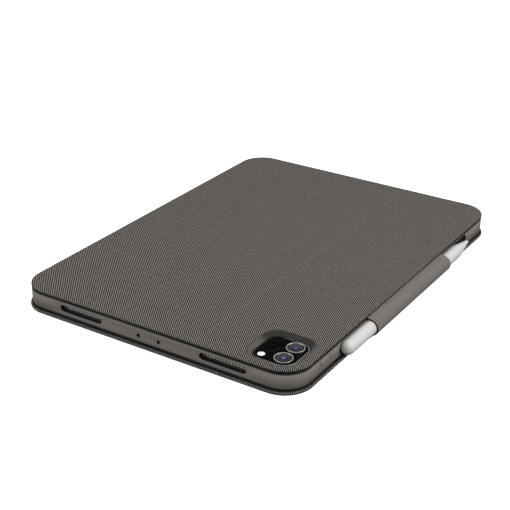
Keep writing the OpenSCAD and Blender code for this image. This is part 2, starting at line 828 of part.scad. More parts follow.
base_fabric();
base_board();
base_liner();
base_magnets();
landing_plate();
keyboard_deck();
key_plate();
keyboard_circuit();
key_domes();
keys_function();
keys_number();
keys_upper();
keys_home();
keys_lower();
keys_bottom();
space_bar();
trackpad();
trackpad_frame();
trackpad_switch();
strip_fabric();
strip_cable();
tray_frame();
back_plate();
tray_magnets();
connector_block();
contact_pins();
cover_board();
cover_fabric();
camera_surround();
flap_root();
hinge_leaves_fixed();
hinge_pins();
hinge_leaves_moving();
kickstand_board();
kickstand_fabric();
kickstand_magnets();
flap_fabric();
flap_tip_fabric();
flap_magnet();
volume_up_button();
volume_down_button();
tablet_housing();
tablet_glass();
camera_island();
camera_rim();
lens_ring_wide();
lens_ring_ultra();
lens_glass_wide();
lens_glass_ultra();
camera_flash();
depth_sensor();
stylus_barrel();
stylus_nib();
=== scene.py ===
"""Looks of the folio keyboard case: woven skins over the covers, spine and flap, the smooth tray,
the tablet's camera, the stylus and the keyboard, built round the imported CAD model."""
import math

import bmesh
import bpy
from mathutils import Matrix, Vector


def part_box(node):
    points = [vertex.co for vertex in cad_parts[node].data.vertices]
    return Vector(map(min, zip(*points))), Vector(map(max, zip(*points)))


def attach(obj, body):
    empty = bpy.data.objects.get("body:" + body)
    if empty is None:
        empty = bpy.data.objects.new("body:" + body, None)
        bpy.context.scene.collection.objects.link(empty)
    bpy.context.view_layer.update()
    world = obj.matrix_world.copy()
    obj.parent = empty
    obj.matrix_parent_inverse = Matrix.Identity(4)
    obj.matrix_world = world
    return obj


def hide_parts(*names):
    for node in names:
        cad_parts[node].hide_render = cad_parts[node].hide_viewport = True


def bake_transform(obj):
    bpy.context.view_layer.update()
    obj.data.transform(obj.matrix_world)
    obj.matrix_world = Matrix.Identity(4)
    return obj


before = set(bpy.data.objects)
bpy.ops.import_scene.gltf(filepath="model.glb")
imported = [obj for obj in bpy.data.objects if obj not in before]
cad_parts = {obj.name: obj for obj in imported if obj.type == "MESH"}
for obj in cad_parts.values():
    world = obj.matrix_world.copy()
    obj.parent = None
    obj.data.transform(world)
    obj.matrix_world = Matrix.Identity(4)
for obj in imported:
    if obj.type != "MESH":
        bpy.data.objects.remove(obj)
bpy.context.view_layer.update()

MM = 0.001

# ---- sizes in millimetres, read from the frame where it holds them ----


def box_mm(node):
    """Lowest and highest corner of a CAD node, in millimetres."""
    low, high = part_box(node)
    return low / MM, high / MM


def centre_of(node):
    low, high = box_mm(node)
    return (low + high) / 2


COVER_LOW, COVER_HIGH = box_mm("cover_fabric")
STAND_LOW, STAND_HIGH = box_mm("kickstand_fabric")
BASE_LOW, BASE_HIGH = box_mm("base_fabric")
STRIP_LOW, STRIP_HIGH = box_mm("strip_fabric")
FLAP_LOW, FLAP_HIGH = box_mm("flap_fabric")
TIP_LOW, TIP_HIGH = box_mm("flap_tip_fabric")
WINDOW_LOW, WINDOW_HIGH = box_mm("camera_surround")
BARREL_LOW, BARREL_HIGH = box_mm("stylus_barrel")
LINER_LOW, LINER_HIGH = box_mm("base_liner")
FRAME_LOW, FRAME_HIGH = box_mm("tray_frame")
SHELL_HIGH = box_mm("tablet_housing")[1]
HALF_L = COVER_HIGH.x
HALF_W = STAND_HIGH.y
CORNER_R = 17.0
BASE_HALF_L, BASE_HALF_W = BASE_HIGH.x, BASE_HIGH.y
BASE_R = CORNER_R + 0.5
CREASE_Y = (COVER_HIGH.y + STAND_LOW.y) / 2
CREASE_DEPTH, CREASE_HALF = 0.09, 0.6     # groove along the crease
CREASE_HIGHLIGHT_Y, CREASE_HIGHLIGHT_HALF = CREASE_Y - 0.4, 1.1     # line beside it painted lighter: a painted highlight along the crease
WINDOW_R = 9.0         # corners of the opening round the camera
SKIN_T = 0.7
COVER_ROLL, BASE_ROLL = 0.7, 0.9     # rounding of the covers' edges
EDGE_SHADOW_H = 0.75           # height of the black band painted along the cloth's lower edge: a painted shadow under the cover's edge
YARN = 0.744           # width of one yarn of the covers' weave
YARN_WAVER = 0.1       # how far a yarn strays, as a share of its width
YARN_ACROSS, YARN_ALONG = 0.9, 0.35  # exponents of a yarn's relief across it and along it
RIB_SHARPNESS = 4.0    # how narrow the weave's diagonal ribs are
RIB_MEAN = 0.45        # level that worn ribs come to, so that the far half stays as bright
RIB_FADE = 0.5         # share of the ribs' relief that is worn away towards the +X +Y corner
RIB_FADE_START, RIB_FADE_END = -70, 120     # where the wear begins and ends along that diagonal
# The tray's rubber is painted black inside the speaker slots, round the microphone holes and inside the
# stylus's groove: painted shade.
MIC_Y, MIC_Z = (6.7, -6.9), 7.15     # microphone holes in the tray's short wall
MIC_RING_INNER, MIC_RING_OUTER = 1.0, 1.35     # radii between which a hole's ring of painted shade fades
SLOT_HALF_L = 64                     # half the stretch of wall that the speaker slots take up
SLOT_Z, SLOT_HALF_H = 7.7, 2.6       # middle and half height of the band that holds the slots
SLOT_SKIN, SLOT_DEPTH = 0.16, 2.8    # depths from the wall at which a slot's black starts and ends
SLOT_LIP = 0.2                       # how much deeper it starts on a slot's lower lip
SLOT_LIP_LOW, SLOT_LIP_HIGH = 6.2, 6.7     # heights over which that lip comes in
GROOVE_X, GROOVE_HALF_L = 5.2, 87.3  # middle and half length of the stylus's groove
GROOVE_Y = FRAME_LOW.y + 1.7         # middle of the groove's black, inside the tray's wall
GROOVE_DEPTH, GROOVE_HALF_H = 1.6, 4.7     # half depth and half height of that black
STYLUS_R = (BARREL_HIGH.z - BARREL_LOW.z) / 2
STYLUS_Y = BARREL_LOW.y + STYLUS_R
STYLUS_Z = (BARREL_LOW.z + BARREL_HIGH.z) / 2

# ---- mesh helpers ----


def new_object(name, bm, smooth_angle=35):
    """Object from a bmesh drawn in millimetres."""
    bmesh.ops.recalc_face_normals(bm, faces=bm.faces)
    mesh = bpy.data.meshes.new(name)
    bm.to_mesh(mesh)
    bm.free()
    mesh.transform(Matrix.Scale(MM, 4))
    obj = bpy.data.objects.new(name, mesh)
    bpy.context.scene.collection.objects.link(obj)
    smooth(obj, smooth_angle)
    return obj


def smooth(obj, angle=35):
    mesh = obj.data
    mesh.shade_smooth()
    mesh.set_sharp_from_angle(angle=math.radians(angle))


def outline(half_l, half_w, r, steps=14, runs=10):
    """Points round a rectangle with round corners, each with its outward normal and its arc's
    centre, anticlockwise from the +X side."""
    points = []
    corners = [(1, 1, 0), (-1, 1, 90), (-1, -1, 180), (1, -1, 270)]
    for k, (sx, sy, start) in enumerate(corners):
        centre = Vector((sx * (half_l - r), sy * (half_w - r)))
        for i in range(steps + 1):
            a = math.radians(start + 90 * i / steps)
            points.append((centre, Vector((math.cos(a), math.sin(a)))))
        nx, ny, _ = corners[(k + 1) % 4]
        after = Vector((nx * (half_l - r), ny * (half_w - r)))
        a = math.radians(start + 90)
        for i in range(1, runs):
            points.append((centre.lerp(after, i / runs), Vector((math.cos(a), math.sin(a)))))
    return points


def ring_of(bm, points, radius, z, shift=(0, 0)):
    """Vertices at a radius from the centres of an outline's arcs."""
    dx, dy = shift
    return [bm.verts.new((c.x + n.x * radius + dx, c.y + n.y * radius + dy, z)) for c, n in points]


def edges_of(bm, ring):
    """Edges of a closed ring of vertices."""
    return [bm.edges.get((v, ring[(i + 1) % len(ring)])) for i, v in enumerate(ring)]


def bridge(bm, ring_a, ring_b):
    """Quads between two closed rings of as many vertices."""
    faces = []
    count = len(ring_a)
    for i in range(count):
        j = (i + 1) % count
        faces.append(bm.faces.new((ring_a[i], ring_a[j], ring_b[j], ring_b[i])))
    return faces


def arc(cx, cz, r, a0, a1, steps):
    """Points of an arc, as pairs."""
    angles = [math.radians(a0 + (a1 - a0) * k / steps) for k in range(steps + 1)]
    return [(cx + r * math.cos(a), cz + r * math.sin(a)) for a in angles]


def set_uv(bm, place):
    """Lays the weave's coordinates, in metres, from a function of a loop's vertex."""
    layer = bm.loops.layers.uv.new("weave")
    for face in bm.faces:
        for loop in face.loops:
            loop[layer].uv = place(loop.vert)


def profile_rings(bm, points, r, profile, where, outward=1, shift=(0, 0)):
    """Rings of vertices down a profile of (inset, z), joined by quads. where is given each vertex's
    place on the flat cloth, which runs outward round a panel's edge and inward at a window."""
    rings, run = [], 0
    for k, (inset, z) in enumerate(profile):
        if k:
            run += math.dist(profile[k - 1], (inset, z))
        ring = ring_of(bm, points, r - inset, z, shift)
        for v, (c, n) in zip(ring, points):
            where[v] = c + n * (r - profile[0][0] + outward * run) + Vector(shift)
        rings.append(ring)
    for a, b in zip(rings, rings[1:]):
        bridge(bm, a, b)
    return rings


def panel(half_l, half_w, r, profile, hole=None, cuts=()):
    """Closed skin over a flat panel with round corners. profile lists (inset, z) from the broad
    face, round the edge, to the inner face. hole is (x, y, half_l, half_w, r, profile) for a
    window through it, and cuts are planes y = const where the mesh needs a line of vertices."""
    bm = bmesh.new()
    where, holes = {}, []
    rings = profile_rings(bm, outline(half_l, half_w, r), r, profile, where)
    if hole:
        hx, hy, hl, hw, hr, hole_profile = hole
        points = outline(hl, hw, hr, steps=10, runs=4)
        holes = profile_rings(bm, points, hr, hole_profile, where, -1, (hx, hy))
    for end in (0, -1):
        if holes:
            edges = edges_of(bm, rings[end]) + edges_of(bm, holes[end])
            bmesh.ops.triangle_fill(bm, edges=edges, use_beauty=True, use_dissolve=False)
        else:
            bm.faces.new(rings[end])
    set_uv(bm, lambda v: where[v] * MM)
    for y in cuts:
        bmesh.ops.bisect_plane(bm, geom=bm.verts[:] + bm.edges[:] + bm.faces[:],
                               plane_co=(0, y, 0), plane_no=(0, 1, 0))
    return bm


def extrude_section(section, x0, x1, steps, end_round=0.3):
    """Closed strip of cloth whose Y-Z section runs along X. section lists (y, z) round the strip,
    outer face first; its ends are drawn in by end_round so that the cut edge looks soft."""
    bm = bmesh.new()
    run = [0.0]
    for a, b in zip(section, section[1:] + section[:1]):
        run.append(run[-1] + math.dist(a, b))
    stations = [(x0, 0.35), (x0 + end_round * 0.3, 0.12), (x0 + end_round, 0)]
    stations += [(x0 + (x1 - x0) * k / steps, 0) for k in range(1, steps)]
    stations += [(x1 - end_round, 0), (x1 - end_round * 0.3, 0.12), (x1, 0.35)]
    rings, where = [], {}
    for x, shrink in stations:
        ring = []
        for i, (y, z) in enumerate(section):
            mate = section[-1 - i]
            py = y + (mate[0] - y) / 2 * shrink
            pz = z + (mate[1] - z) / 2 * shrink
            v = bm.verts.new((x, py, pz))
            where[v] = Vector((x, run[i]))
            ring.append(v)
        rings.append(ring)
    for a, b in zip(rings, rings[1:]):
        bridge(bm, a, b)
    for ring in (rings[0], rings[-1]):
        half = len(ring) // 2
        for i in range(half - 1):
            bm.faces.new((ring[i], ring[i + 1], ring[-2 - i], ring[-1 - i]))
    set_uv(bm, lambda v: where[v] * MM)
    return bm


def thick_path(path, t):
    """Both faces of a cloth t thick that follows a path of (y, z): out along one, back by the other."""
    left, right = [], []
    for i, p in enumerate(path):
        a = Vector(path[max(i - 1, 0)])
        b = Vector(path[min(i + 1, len(path) - 1)])
        d = (b - a).normalized()
        n = Vector((-d.y, d.x)) * t / 2
        left.append(tuple(Vector(p) + n))
        right.append(tuple(Vector(p) - n))
    return left + right[::-1]


# ---- node helpers ----


class Nodes:
    """Short names for building a material's node tree."""

    def __init__(self, name):
        self.material = bpy.data.materials.new(name)
        self.material.use_nodes = True
        self.tree = self.material.node_tree
        self.tree.nodes.clear()
        self.out = self.add("ShaderNodeOutputMaterial")
        self.shader = self.add("ShaderNodeBsdfPrincipled")
        self.link(self.shader.outputs[0], self.out.inputs[0])

    def add(self, kind, **settings):
        node = self.tree.nodes.new(kind)
        for key, value in settings.items():
            setattr(node, key, value)
        return node

    def link(self, a, b):
        self.tree.links.new(a, b)

    def value(self, node, index, x):
        if isinstance(x, (int, float)):
            node.inputs[index].default_value = x
        else:
            self.link(x, node.inputs[index])

    def math(self, operation, a, b=0.0, c=0.0):
        node = self.add("ShaderNodeMath", operation=operation)
        for index, x in enumerate((a, b, c)):
            self.value(node, index, x)
        return node.outputs[0]

    def split(self, vector):
        node = self.add("ShaderNodeSeparateXYZ")
        self.link(vector, node.inputs[0])
        return node.outputs

    def mix(self, factor, a, b):
        """Colour between a and b, each a colour or a socket."""
        node = self.add("ShaderNodeMix", data_type="RGBA")
        self.value(node, 0, factor)
        for index, x in ((6, a), (7, b)):
            if isinstance(x, (tuple, list)):
                node.inputs[index].default_value = (*x, 1) if len(x) == 3 else x
            else:
                self.link(x, node.inputs[index])
        return node.outputs[2]

    def blend(self, factor, a, b):
        """Number between a and b."""
        node = self.add("ShaderNodeMix", data_type="FLOAT")
        for index, x in ((0, factor), (2, a), (3, b)):
            self.value(node, index, x)
        return node.outputs[0]

    def ramp(self, x, start, end):
        """0 at start and 1 at end, with a smooth rise between them."""
        node = self.add("ShaderNodeMapRange", interpolation_type="SMOOTHSTEP")
        for index, value in ((0, x), (1, start), (2, end)):
            self.value(node, index, value)
        return node.outputs[0]

    def vary(self, x, amount, base):
        """base plus amount times x."""
        return self.math("ADD", base, self.math("MULTIPLY", x, amount))

    def product(self, first, *rest):
        for x in rest:
            first = self.math("MULTIPLY", first, x)
        return first

    def largest(self, first, *rest):
        for x in rest:
            first = self.math("MAXIMUM", first, x)
        return first

    def length(self, a, b):
        """Length of the vector (a, b)."""
        squares = (self.math("MULTIPLY", a, a), self.math("MULTIPLY", b, b))
        return self.math("SQRT", self.math("ADD", *squares))

    def within(self, x, centre, half):
        """1 where x lies within half of centre, both in millimetres, and 0 elsewhere."""
        return self.math("COMPARE", x, centre * MM, half * MM)

    def object_point(self):
        return self.add("ShaderNodeTexCoord").outputs["Object"]

    def uv_point(self):
        return self.add("ShaderNodeUVMap", uv_map="weave").outputs[0]

    def noise(self, point, scale, detail=3.0, rough=0.5):
        node = self.add("ShaderNodeTexNoise")
        self.link(point, node.inputs["Vector"])
        node.inputs["Scale"].default_value = scale
        node.inputs["Detail"].default_value = detail
        node.inputs["Roughness"].default_value = rough
        return node.outputs["Fac"]

    def bump(self, height, distance, strength=1.0, under=None):
        node = self.add("ShaderNodeBump")
        node.inputs["Distance"].default_value = distance
        node.inputs["Strength"].default_value = strength
        self.link(height, node.inputs["Height"])
        if under is not None:
            self.link(under, node.inputs["Normal"])
        return node.outputs[0]

    def finish(self, color=None, normal=None, **sockets):
        if color is not None:
            if isinstance(color, (tuple, list)):
                self.shader.inputs["Base Color"].default_value = (*color, 1)
            else:
                self.link(color, self.shader.inputs["Base Color"])
        if normal is not None:
            self.link(normal, self.shader.inputs["Normal"])
        for key, x in sockets.items():
            socket = self.shader.inputs[key.replace("_", " ")]
            if isinstance(x, (int, float, tuple)):
                socket.default_value = x
            else:
                self.link(x, socket)
        return self.material


def worn_ribs(n, x, y, fx, fy):
    """The weave's diagonal ribs, worn down towards the +X +Y corner. x and y are its coordinates
    in metres, and fx and fy the same in yarns."""
    turn = n.math("MULTIPLY", n.math("SUBTRACT", fx, fy), math.pi)
    rib = n.math("MULTIPLY_ADD", n.math("COSINE", turn), -0.5, 0.5)
    rib = n.math("POWER", rib, RIB_SHARPNESS)
    away = n.math("ADD", n.math("MULTIPLY", x, 0.85), n.math("MULTIPLY", y, 0.53))
    worn = n.math("MULTIPLY", n.ramp(away, RIB_FADE_START * MM, RIB_FADE_END * MM), RIB_FADE)
    return n.blend(worn, rib, RIB_MEAN)


def slub_mask(n, point, most):
    """Sparse thick places in the yarns, drawn out aslant, from 0 to most."""
    stretch = n.add("ShaderNodeMapping")
    stretch.inputs["Scale"].default_value = (1.0, 2.2, 1.0)
    stretch.inputs["Rotation"].default_value = (0, 0, 0.6)
    n.link(point, stretch.inputs["Vector"])
    thick = n.noise(stretch.outputs[0], 520.0, 1.0, 0.4)
    slub = n.math("MULTIPLY", n.math("SUBTRACT", thick, 0.72), 14.0)
    return n.math("MINIMUM", n.math("MAXIMUM", slub, 0.0), most)


def woven(name, light, dark, yarn, depth=0.00012, gap=0.25, slubs=0.5, ribs=False, highlight_y=None):
    """Plain weave of two yarns: light ones one way and dark ones the other, each rising over the
    next, with slightly uneven yarns and sparse pale slubs, and painted shade in the hollows between
    the yarns. ribs draws the diagonal ribs, which are worn down towards the +X +Y corner. The last
    argument is the y, in millimetres, of a thin line painted lighter: a painted highlight along the
    crease."""
    n = Nodes(name)
    point = n.uv_point()
    x, y, _ = n.split(point)
    fx = n.math("DIVIDE", x, yarn * MM)
    fy = n.math("DIVIDE", y, yarn * MM)
    drift = n.math("MULTIPLY", n.math("SUBTRACT", n.noise(point, 260.0, 2.0), 0.5), YARN_WAVER)
    fx = n.math("ADD", fx, drift)
    fy = n.math("ADD", fy, drift)
    cell = n.math("ADD", n.math("FLOOR", fx), n.math("FLOOR", fy))
    over = n.math("MULTIPLY", n.math("FRACT", n.math("MULTIPLY", cell, 0.5)), 2.0)
    sx, sy = (n.math("ABSOLUTE", n.math("SINE", n.math("MULTIPLY", f, math.pi))) for f in (fx, fy))
    along_y = n.product(n.math("POWER", sx, YARN_ACROSS), n.math("POWER", sy, YARN_ALONG))
    along_x = n.product(n.math("POWER", sx, YARN_ALONG), n.math("POWER", sy, YARN_ACROSS))
    height = n.blend(over, along_x, along_y)
    # painted shade: the colour darkens down into the hollows between the yarns
    shade = n.math("ADD", n.math("MULTIPLY", height, 1.0 - gap), gap)
    fibre = n.noise(point, 3600.0, 2.0, 0.7)
    patch = n.noise(point, 38.0, 4.0, 0.6)
    shade = n.product(shade, n.vary(fibre, 0.2, 0.9), n.vary(patch, 0.08, 0.96))
    if ribs:
        shade = n.product(shade, worn_ribs(n, x, y, fx, fy))
    color = n.mix(shade, (0.0, 0.0, 0.0), n.mix(over, dark, light))
    color = n.mix(slub_mask(n, point, slubs), color, tuple(min(c * 1.9, 0.8) for c in light))
    # painted highlight: along a thin line beside the crease the colour is mixed towards the light yarn's
    if highlight_y is not None:
        away = n.math("ABSOLUTE", n.math("SUBTRACT", y, highlight_y * MM))
        highlit = n.math("MAXIMUM", n.math("SUBTRACT", 1.0, n.math("DIVIDE", away, CREASE_HIGHLIGHT_HALF * MM)), 0.0)
        color = n.mix(n.math("MULTIPLY", highlit, 0.03), color, light)
    normal = n.bump(height, depth, 0.9)
    return n.finish(color, normal, Roughness=0.85, Sheen_Weight=0.03, Sheen_Roughness=0.5,
                    Specular_IOR_Level=0.08)


def moulded(name, color, rough=0.5, grain=9000.0, grain_depth=0.00001, vary=0.06, spec=0.4, metal=0.0,
            dim=None):
    """Moulded plastic, rubber or metal with a fine grain and slightly uneven gloss. dim is (centre,
    direction, start, end, level), for painted shade: the colour falls to level of itself between two
    distances, in millimetres, from the centre along a direction of the plan."""
    n = Nodes(name)
    point = n.object_point()
    fine = n.noise(point, grain, 2.0, 0.6)
    broad = n.noise(point, 55.0, 4.0, 0.55)
    tint = n.product(n.vary(broad, 2 * vary, 1.0 - vary), 0.98)
    # painted shade: the tone falls on one side of the centre
    if dim:
        centre, direction, start, end, level = dim
        x, y, _ = n.split(point)
        along_x = n.math("MULTIPLY", n.math("SUBTRACT", x, centre.x * MM), direction[0])
        along_y = n.math("MULTIPLY", n.math("SUBTRACT", y, centre.y * MM), direction[1])
        dimmed = n.ramp(n.math("ADD", along_x, along_y), start * MM, end * MM)
        tint = n.product(tint, n.math("MULTIPLY_ADD", dimmed, level - 1.0, 1.0))
    tone = n.mix(tint, (0, 0, 0), color)
    gloss = n.vary(broad, 0.1, rough - 0.05)
    return n.finish(tone, n.bump(fine, grain_depth, 0.6), Roughness=gloss, Specular_IOR_Level=spec,
                    Metallic=metal)


def in_slots(n, x, y, z):
    """1 inside the speaker slots and 0 elsewhere."""
    reach_x = n.math("ABSOLUTE", x)
    lip = n.ramp(z, SLOT_LIP_HIGH * MM, SLOT_LIP_LOW * MM)
    outer = n.math("MULTIPLY_ADD", lip, -SLOT_LIP * MM, (FRAME_HIGH.x - SLOT_SKIN) * MM)
    inner = (FRAME_HIGH.x - SLOT_DEPTH) * MM
    return n.product(n.math("LESS_THAN", reach_x, outer), n.math("GREATER_THAN", reach_x, inner),
                     n.within(y, 0, SLOT_HALF_L), n.within(z, SLOT_Z, SLOT_HALF_H))


def in_groove(n, x, y, z):
    """1 inside the stylus's groove and 0 elsewhere."""
    return n.product(n.within(x, GROOVE_X, GROOVE_HALF_L), n.within(y, GROOVE_Y, GROOVE_DEPTH),
                     n.within(z, STYLUS_Z, GROOVE_HALF_H))


def mic_ring(n, x, y, z, mic_y):
    """Dark ring of painted shade round a microphone hole of the -X wall."""
    reach = n.length(n.math("SUBTRACT", y, mic_y * MM), n.math("SUBTRACT", z, MIC_Z * MM))
    ring = n.ramp(reach, MIC_RING_OUTER * MM, MIC_RING_INNER * MM)
    return n.product(ring, n.math("LESS_THAN", x, FRAME_LOW.x / 2 * MM))


def tray_rubber(name, color):
    """Smooth satin rubber, with painted shade: it is black inside the slots, holes and stylus groove and
    along the wall's upper and lower edges, under the cover's overhang and above the keyboard cover, and
    it darkens down the wall."""
    n = Nodes(name)
    point = n.object_point()
    x, y, z = n.split(point)
    # painted shadow: black under the back cover's overhang at the wall's top and above the keyboard
    # cover at its foot
    overhang_shade = n.ramp(z, (FRAME_HIGH.z - 1.7) * MM, (FRAME_HIGH.z - 0.5) * MM)
    gap_shade = n.ramp(z, (FRAME_LOW.z + 1.9) * MM, (FRAME_LOW.z + 0.7) * MM)
    rings = [mic_ring(n, x, y, z, mic_y) for mic_y in MIC_Y]
    black = n.largest(in_slots(n, x, y, z), in_groove(n, x, y, z), overhang_shade, gap_shade, *rings)
    fine = n.noise(point, 7000.0, 2.0, 0.6)
    broad = n.noise(point, 55.0, 4.0, 0.55)
    # painted shade: the tone falls from TRAY_TOP high up to TRAY_FOOT low down the wall
    height = n.ramp(z, (FRAME_LOW.z + 1.5) * MM, (FRAME_HIGH.z - 1.5) * MM)
    level = n.math("MULTIPLY_ADD", height, TRAY_TOP - TRAY_FOOT, TRAY_FOOT)
    level = n.product(level, n.vary(broad, 0.1, 0.93))
    tone = n.mix(black, n.mix(level, (0, 0, 0), color), (0.006, 0.006, 0.006))
    return n.finish(tone, n.bump(fine, 0.00001, 0.6), Roughness=n.vary(broad, 0.1, 0.55),
                    Specular_IOR_Level=0.2)


def brushed(name, color, rough=0.32, stretch=(1, 30, 1)):
    """Metal with fine marks drawn out along one direction."""
    n = Nodes(name)
    mapping = n.add("ShaderNodeMapping")
    mapping.inputs["Scale"].default_value = stretch
    n.link(n.object_point(), mapping.inputs["Vector"])
    marks = n.noise(mapping.outputs[0], 900.0, 3.0, 0.6)
    tone = n.mix(n.vary(marks, 0.25, 0.85), (0, 0, 0), color)
    gloss = n.vary(marks, 0.16, rough - 0.08)
    return n.finish(tone, n.bump(marks, 0.00001, 0.4), Roughness=gloss, Metallic=1.0)


def shell_metal(name, color):
    """The tablet's shell: bright on its end walls, which show through the slots, as painted light, and
    nearly black elsewhere."""
    n = Nodes(name)
    point = n.object_point()
    x, _, _ = n.split(point)
    # painted light: the end walls are made bright in colour
    wall = n.ramp(n.math("ABSOLUTE", x), (SHELL_HIGH.x - 0.1) * MM, (SHELL_HIGH.x - 0.02) * MM)
    grain = n.noise(point, 14000.0, 2.0, 0.6)
    level = n.math("MULTIPLY_ADD", wall, 1.0 - SHELL_DARK, SHELL_DARK)
    level = n.product(level, n.math("MULTIPLY_ADD", grain, 0.1, 0.93))
    return n.finish(n.mix(level, (0, 0, 0), color), n.bump(grain, 0.00001, 0.6), Roughness=0.5,
                    Metallic=0.2, Specular_IOR_Level=0.2)


def microfibre(name, color):
    """Short brushed pile: fine speckle and a faint nap."""
    n = Nodes(name)
    point = n.object_point()
    pile = n.noise(point, 3600.0, 4.0, 0.75)
    nap = n.noise(point, 60.0, 3.0, 0.6)
    tone = n.math("ADD", 0.7, n.math("ADD", n.math("MULTIPLY", pile, 0.4), n.math("MULTIPLY", nap, 0.2)))
    return n.finish(n.mix(n.math("MULTIPLY", tone, 0.9), (0, 0, 0), color), n.bump(pile, 0.00006, 0.8),
                    Roughness=0.95, Sheen_Weight=0.04, Specular_IOR_Level=0.08)


def dark_glass(name, color, rough=0.04):
    """Polished black glass with faint smudges in its gloss."""
    n = Nodes(name)
    smudge = n.noise(n.object_point(), 45.0, 5.0, 0.65)
    gloss = n.vary(n.math("POWER", smudge, 3.0), 0.12, rough)
    tone = n.mix(smudge, color, tuple(c * 1.25 for c in color))
    return n.finish(tone, None, Roughness=gloss, Specular_IOR_Level=0.008)


def screen_glass(name, half_l, half_w):
    """The tablet's front: black border round a panel that is a little greyer."""
    n = Nodes(name)
    point = n.object_point()
    x, y, _ = n.split(point)
    inside_x = n.math("LESS_THAN", n.math("ABSOLUTE", x), half_l * MM)
    inside_y = n.math("LESS_THAN", n.math("ABSOLUTE", y), half_w * MM)
    panel_mask = n.math("MULTIPLY", inside_x, inside_y)
    smudge = n.noise(point, 30.0, 5.0, 0.65)
    gloss = n.vary(n.math("POWER", smudge, 3.0), 0.12, 0.05)
    tone = n.mix(panel_mask, (0.004, 0.004, 0.004), (0.012, 0.012, 0.014))
    return n.finish(tone, None, Roughness=gloss, Specular_IOR_Level=0.55)


def lens_coating(name, centre, glint):
    """Coated glass of a lens: a coloured glint in the middle, then black with a faint grey ring."""
    n = Nodes(name)
    x, y, _ = n.split(n.object_point())
    dx = n.math("DIVIDE", n.math("SUBTRACT", x, centre.x * MM), MM)
    dy = n.math("DIVIDE", n.math("SUBTRACT", y, centre.y * MM), MM)
    reach = n.length(dx, dy)
    ramp = n.add("ShaderNodeValToRGB")
    stops = ramp.color_ramp.elements
    stops[0].position, stops[0].color = 0.0, (*glint, 1)
    stops[1].position, stops[1].color = 1.0, (0.002, 0.002, 0.002, 1)
    for place, tint in ((0.13, tuple(c * 0.55 for c in glint)), (0.27, tuple(c * 0.09 for c in glint)),
                        (0.42, (0.003, 0.003, 0.004)), (0.56, (0.022, 0.021, 0.018)),
                        (0.66, (0.03, 0.028, 0.024)), (0.74, (0.004, 0.004, 0.004))):
        stops.new(place).color = (*tint, 1)
    n.link(n.math("DIVIDE", reach, LENS_REACH), ramp.inputs[0])
    return n.finish(ramp.outputs[0], None, Roughness=0.06, Specular_IOR_Level=0.12)


# ---- materials ----

WARM = Vector((1.093, 1.0, 0.915))    # tint of the case's greys
TRAY_FOOT, TRAY_TOP = 0.53, 1.0      # share of the rubber's tone low down and high up on the wall: painted shade, darker low down
SHELL_DARK = 0.06                    # share of the shell's tone away from its end walls
LENS_REACH = 5.0                     # distance from a lens's centre over which its colours run


def warm(level):
    return tuple(level * WARM)


COVER_WEAVE = woven("cover_weave", warm(0.575), warm(0.002), YARN, slubs=0.2, ribs=True,
                    highlight_y=CREASE_HIGHLIGHT_Y)
FLAP_WEAVE = woven("flap_weave", warm(0.206), warm(0.164), 0.4, depth=0.00004, gap=0.7, slubs=0.7)
# black for the lower edge of the cover's cloth and for the flap's ends: painted shadow
EDGE_SHADOW = moulded("painted_edge_shadow", (0.006, 0.006, 0.006), rough=0.85, grain=3000.0,
                   grain_depth=0.00003, spec=0.05)
LINING = microfibre("lining", warm(0.02))
TRAY = tray_rubber("tray_rubber", warm(0.245))
# painted shade: the surround darkens towards its +X side
SURROUND = moulded("surround_rubber", warm(0.095), rough=0.7, grain=7000.0, spec=0.1,
                   dim=(centre_of("camera_surround"), (1.0, 0.25), 4.0, 12.0, 0.35))
DECK = moulded("deck_plastic", warm(0.10), rough=0.6, grain=5200.0, grain_depth=0.00002)
KEYCAP = moulded("keycap_plastic", (0.028, 0.028, 0.03), rough=0.5)
PAD = moulded("trackpad_face", (0.045, 0.045, 0.048), rough=0.3, grain=12000.0, grain_depth=0.000004)
BOARD = moulded("cover_board_face", warm(0.05), rough=0.7, grain=2600.0, grain_depth=0.00004)
STEEL = brushed("steel", (0.52, 0.52, 0.53))
ALUMINIUM = moulded("polished_aluminium", (0.55, 0.55, 0.56), rough=0.3, grain=14000.0, metal=1.0)
SHELL = shell_metal("tablet_shell", (0.5, 0.485, 0.47))
BLACK_PLASTIC = moulded("black_plastic", (0.012, 0.012, 0.013), rough=0.45)
GOLD = brushed("gold_plating", (0.83, 0.6, 0.24), rough=0.25)
CIRCUIT = moulded("circuit_lacquer", (0.02, 0.10, 0.05), rough=0.4)
SILICONE = moulded("silicone", (0.45, 0.45, 0.45), rough=0.6)
ISLAND = dark_glass("island_glass", (0.0012, 0.0013, 0.0012), 0.25)
SENSOR = dark_glass("sensor_glass", (0.0006, 0.0006, 0.0006), 0.3)
# painted shade: the rim darkens nearly to black on its -X +Y side
RIM = moulded("rim_aluminium", (0.34, 0.34, 0.35), rough=0.45, grain=14000.0, metal=0.8,
              dim=(centre_of("camera_island"), (-0.53, 0.85), -5.0, 1.0, 0.04))
FLASH = moulded("flash_diffuser", (0.95, 0.95, 0.93), rough=0.4)
STYLUS = moulded("stylus_white", (0.66, 0.655, 0.64), rough=0.38, grain=16000.0,
                 grain_depth=0.000002, vary=0.02, spec=0.25)
SCREEN = screen_glass("screen_glass", 118.5, 83.5)

